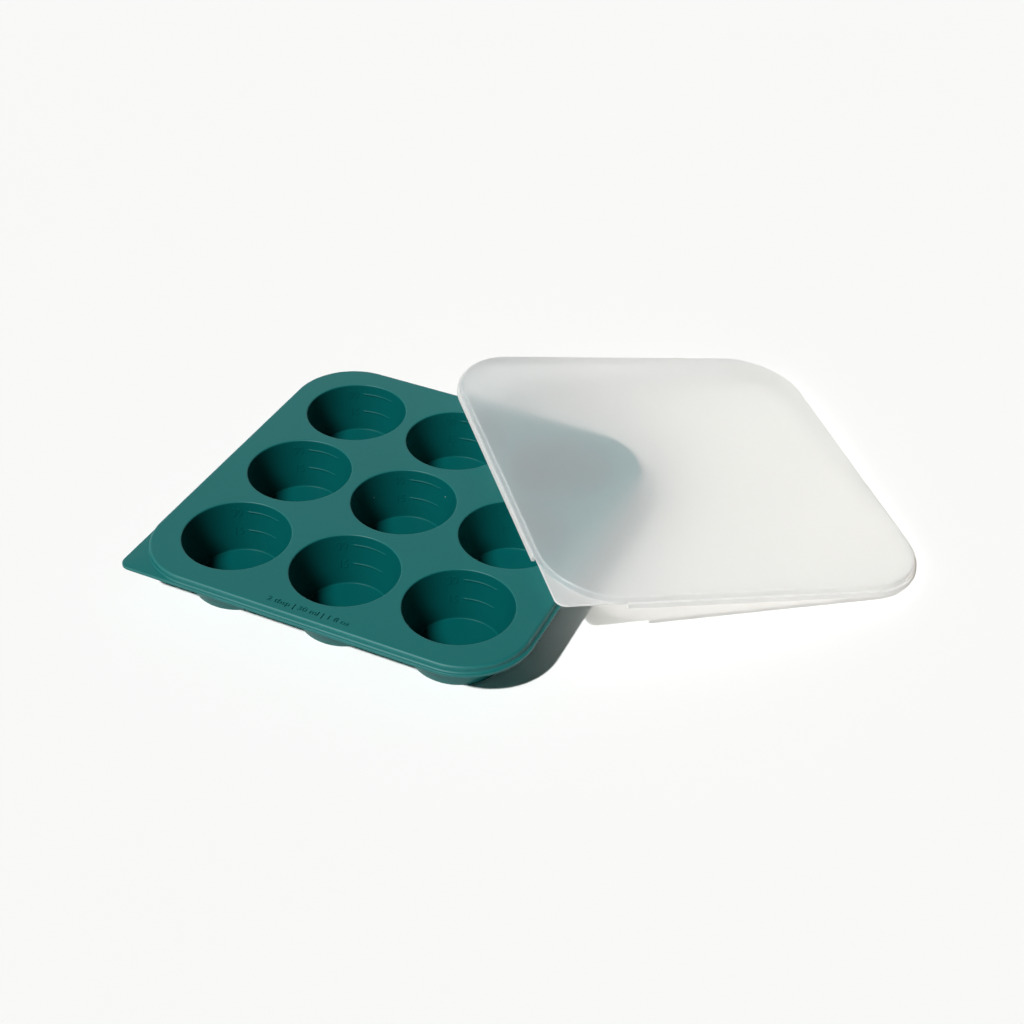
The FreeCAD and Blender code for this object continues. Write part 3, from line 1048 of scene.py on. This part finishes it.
def make_studio(studio, finish):
    """The pale sheet, the lamps and the camera."""
    sheet = bmesh.new()
    bmesh.ops.create_grid(sheet, x_segments=4, y_segments=4, size=BACKDROP_HALF)
    data = bpy.data.meshes.new("backdrop")
    sheet.to_mesh(data)
    sheet.free()
    data.materials.append(material_for("pale_sheet", finish))
    backdrop = bpy.data.objects.new("backdrop", data)
    bpy.context.scene.collection.objects.link(backdrop)

    add_sun("key", KEY_FROM, studio.key_strength, studio.key_spread, backdrop, "EXCLUDE")
    floor_strength, floor_spread = studio.floor_strength, studio.floor_spread
    add_sun("floor_light", FLOOR_LIGHT_FROM, floor_strength, floor_spread, backdrop, "INCLUDE")

    bpy.context.scene.world = studio_world(studio)
    bpy.context.scene.view_settings.view_transform = "Standard"
    make_camera(studio)


def add_sun(name, comes_from, strength, spread, backdrop, backdrop_state):
    """A far lamp that lights either the backdrop only, or all but the backdrop."""
    lamp = bpy.data.lights.new(name, "SUN")
    lamp.energy = strength
    lamp.angle = spread
    sun = bpy.data.objects.new(name, lamp)
    sun.rotation_euler = comes_from.to_track_quat("Z", "Y").to_euler()
    sun.location = comes_from
    bpy.context.scene.collection.objects.link(sun)
    receivers = bpy.data.collections.new(name + "_receivers")
    receivers.objects.link(backdrop)
    receivers.collection_objects[0].light_linking.link_state = backdrop_state
    sun.light_linking.receiver_collection = receivers


def studio_world(studio):
    """Dim even light, and a pale studio, brighter near the horizon, that camera and gloss see."""
    graph = Graph(bpy.data.worlds.new("studio"))
    upward = graph.node("ShaderNodeSeparateXYZ", {}, {"Vector": graph.place()}, output=2)
    height = graph.ramp(upward, LOW_HAZE_UP_TO, HIGH_HAZE_FROM)
    seen = (
        graph.node("ShaderNodeLightPath", output=IS_CAMERA_RAY)
        + graph.node("ShaderNodeLightPath", output=IS_GLOSSY_RAY)
        + graph.node("ShaderNodeLightPath", output=IS_TRANSMISSION_RAY)
    )
    direct = graph.node("ShaderNodeLightPath", output=DIFFUSE_DEPTH) < 0.5
    haze = direct * (studio.haze_low + height * (studio.haze_high - studio.haze_low))
    light = studio.sky_strength + seen * haze
    shader = graph.node("ShaderNodeBackground", {}, {"Color": (1, 1, 1, 1), "Strength": light})
    return graph.finish(shader, "ShaderNodeOutputWorld")


def make_camera(studio):
    """A camera that looks at its target from an azimuth and an elevation."""
    level = math.cos(studio.elevation)
    back = Vector((
        math.sin(studio.azimuth) * level,
        -math.cos(studio.azimuth) * level,
        math.sin(studio.elevation),
    ))
    right = Vector((0, 0, 1)).cross(back).normalized()
    up = back.cross(right)
    axes = Matrix((right, up, back)).transposed() @ Matrix.Rotation(studio.roll, 3, "Z")
    lens = bpy.data.cameras.new("camera")
    lens.lens = studio.lens
    lens.sensor_width = SENSOR_WIDTH
    camera = bpy.data.objects.new("camera", lens)
    stand = Vector(studio.target) + back * studio.distance
    camera.matrix_world = Matrix.Translation(stand) @ axes.to_4x4()
    bpy.context.scene.collection.objects.link(camera)
    bpy.context.scene.camera = camera


# ---------------------------------------------------------------- add-on


class FREEZERTRAY_OT_cups(bpy.types.Operator):
    """Build the walls of the nine cups"""

    bl_idname = "freezertray.cups"
    bl_label = "Build cups"

    def execute(self, context):
        silicone = silicones(context.scene.tray_finish)
        for row, column in CUP_PLACES:
            make_cup(context.scene.tray_sizes, row, column, silicone)
        return {"FINISHED"}


class FREEZERTRAY_OT_floors(bpy.types.Operator):
    """Build the soft floors of the nine cups"""

    bl_idname = "freezertray.floors"
    bl_label = "Build cup floors"

    def execute(self, context):
        silicone = silicones(context.scene.tray_finish)
        for row, column in CUP_PLACES:
            make_cup_floor(context.scene.tray_sizes, row, column, silicone)
        return {"FINISHED"}


class FREEZERTRAY_OT_deck(bpy.types.Operator):
    """Build the deck, the rim and the pull tab of the tray"""

    bl_idname = "freezertray.deck"
    bl_label = "Build deck"

    def execute(self, context):
        silicone = silicones(context.scene.tray_finish)
        make_deck(context.scene.tray_sizes, silicone)
        return {"FINISHED"}


class FREEZERTRAY_OT_lid(bpy.types.Operator):
    """Build the frosted lid"""

    bl_idname = "freezertray.lid"
    bl_label = "Build lid"

    def execute(self, context):
        plastic = plastics(context.scene.tray_finish)
        make_lid(context.scene.tray_sizes, context.scene.lid_sizes, plastic)
        return {"FINISHED"}


class FREEZERTRAY_OT_studio(bpy.types.Operator):
    """Build the pale sheet, the lamps and the camera"""

    bl_idname = "freezertray.studio"
    bl_label = "Build studio"

    def execute(self, context):
        make_studio(context.scene.tray_studio, context.scene.tray_finish)
        return {"FINISHED"}


class FREEZERTRAY_PT_panel(bpy.types.Panel):
    """Sizes, finishes and the steps that build the tray"""

    bl_label = "Freezer tray"
    bl_idname = "FREEZERTRAY_PT_panel"
    bl_space_type = "VIEW_3D"
    bl_region_type = "UI"
    bl_category = "Freezer tray"

    def draw(self, context):
        for title, group in (
            ("Tray", context.scene.tray_sizes),
            ("Lid", context.scene.lid_sizes),
            ("Finish", context.scene.tray_finish),
            ("Studio", context.scene.tray_studio),
        ):
            box = self.layout.box()
            box.label(text=title)
            for name in group.__annotations__:
                box.prop(group, name)
        for operator in STEPS:
            self.layout.operator(operator.bl_idname)


STEPS = (
    FREEZERTRAY_OT_cups,
    FREEZERTRAY_OT_floors,
    FREEZERTRAY_OT_deck,
    FREEZERTRAY_OT_lid,
    FREEZERTRAY_OT_studio,
)
SETTINGS = {
    "tray_sizes": TraySizes,
    "lid_sizes": LidSizes,
    "tray_finish": Finish,
    "tray_studio": Studio,
}


def register():
    for name, group in SETTINGS.items():
        bpy.utils.register_class(group)
        setattr(bpy.types.Scene, name, bpy.props.PointerProperty(type=group))
    for item in STEPS + (FREEZERTRAY_PT_panel,):
        bpy.utils.register_class(item)


def unregister():
    for item in reversed(STEPS + (FREEZERTRAY_PT_panel,)):
        bpy.utils.unregister_class(item)
    for name, group in reversed(SETTINGS.items()):
        delattr(bpy.types.Scene, name)
        bpy.utils.unregister_class(group)


def main():
    """Build everything in order."""
    register()
    bpy.ops.freezertray.cups()
    bpy.ops.freezertray.floors()
    bpy.ops.freezertray.deck()
    bpy.ops.freezertray.lid()
    bpy.ops.freezertray.studio()


if __name__ == "__main__":
    main()
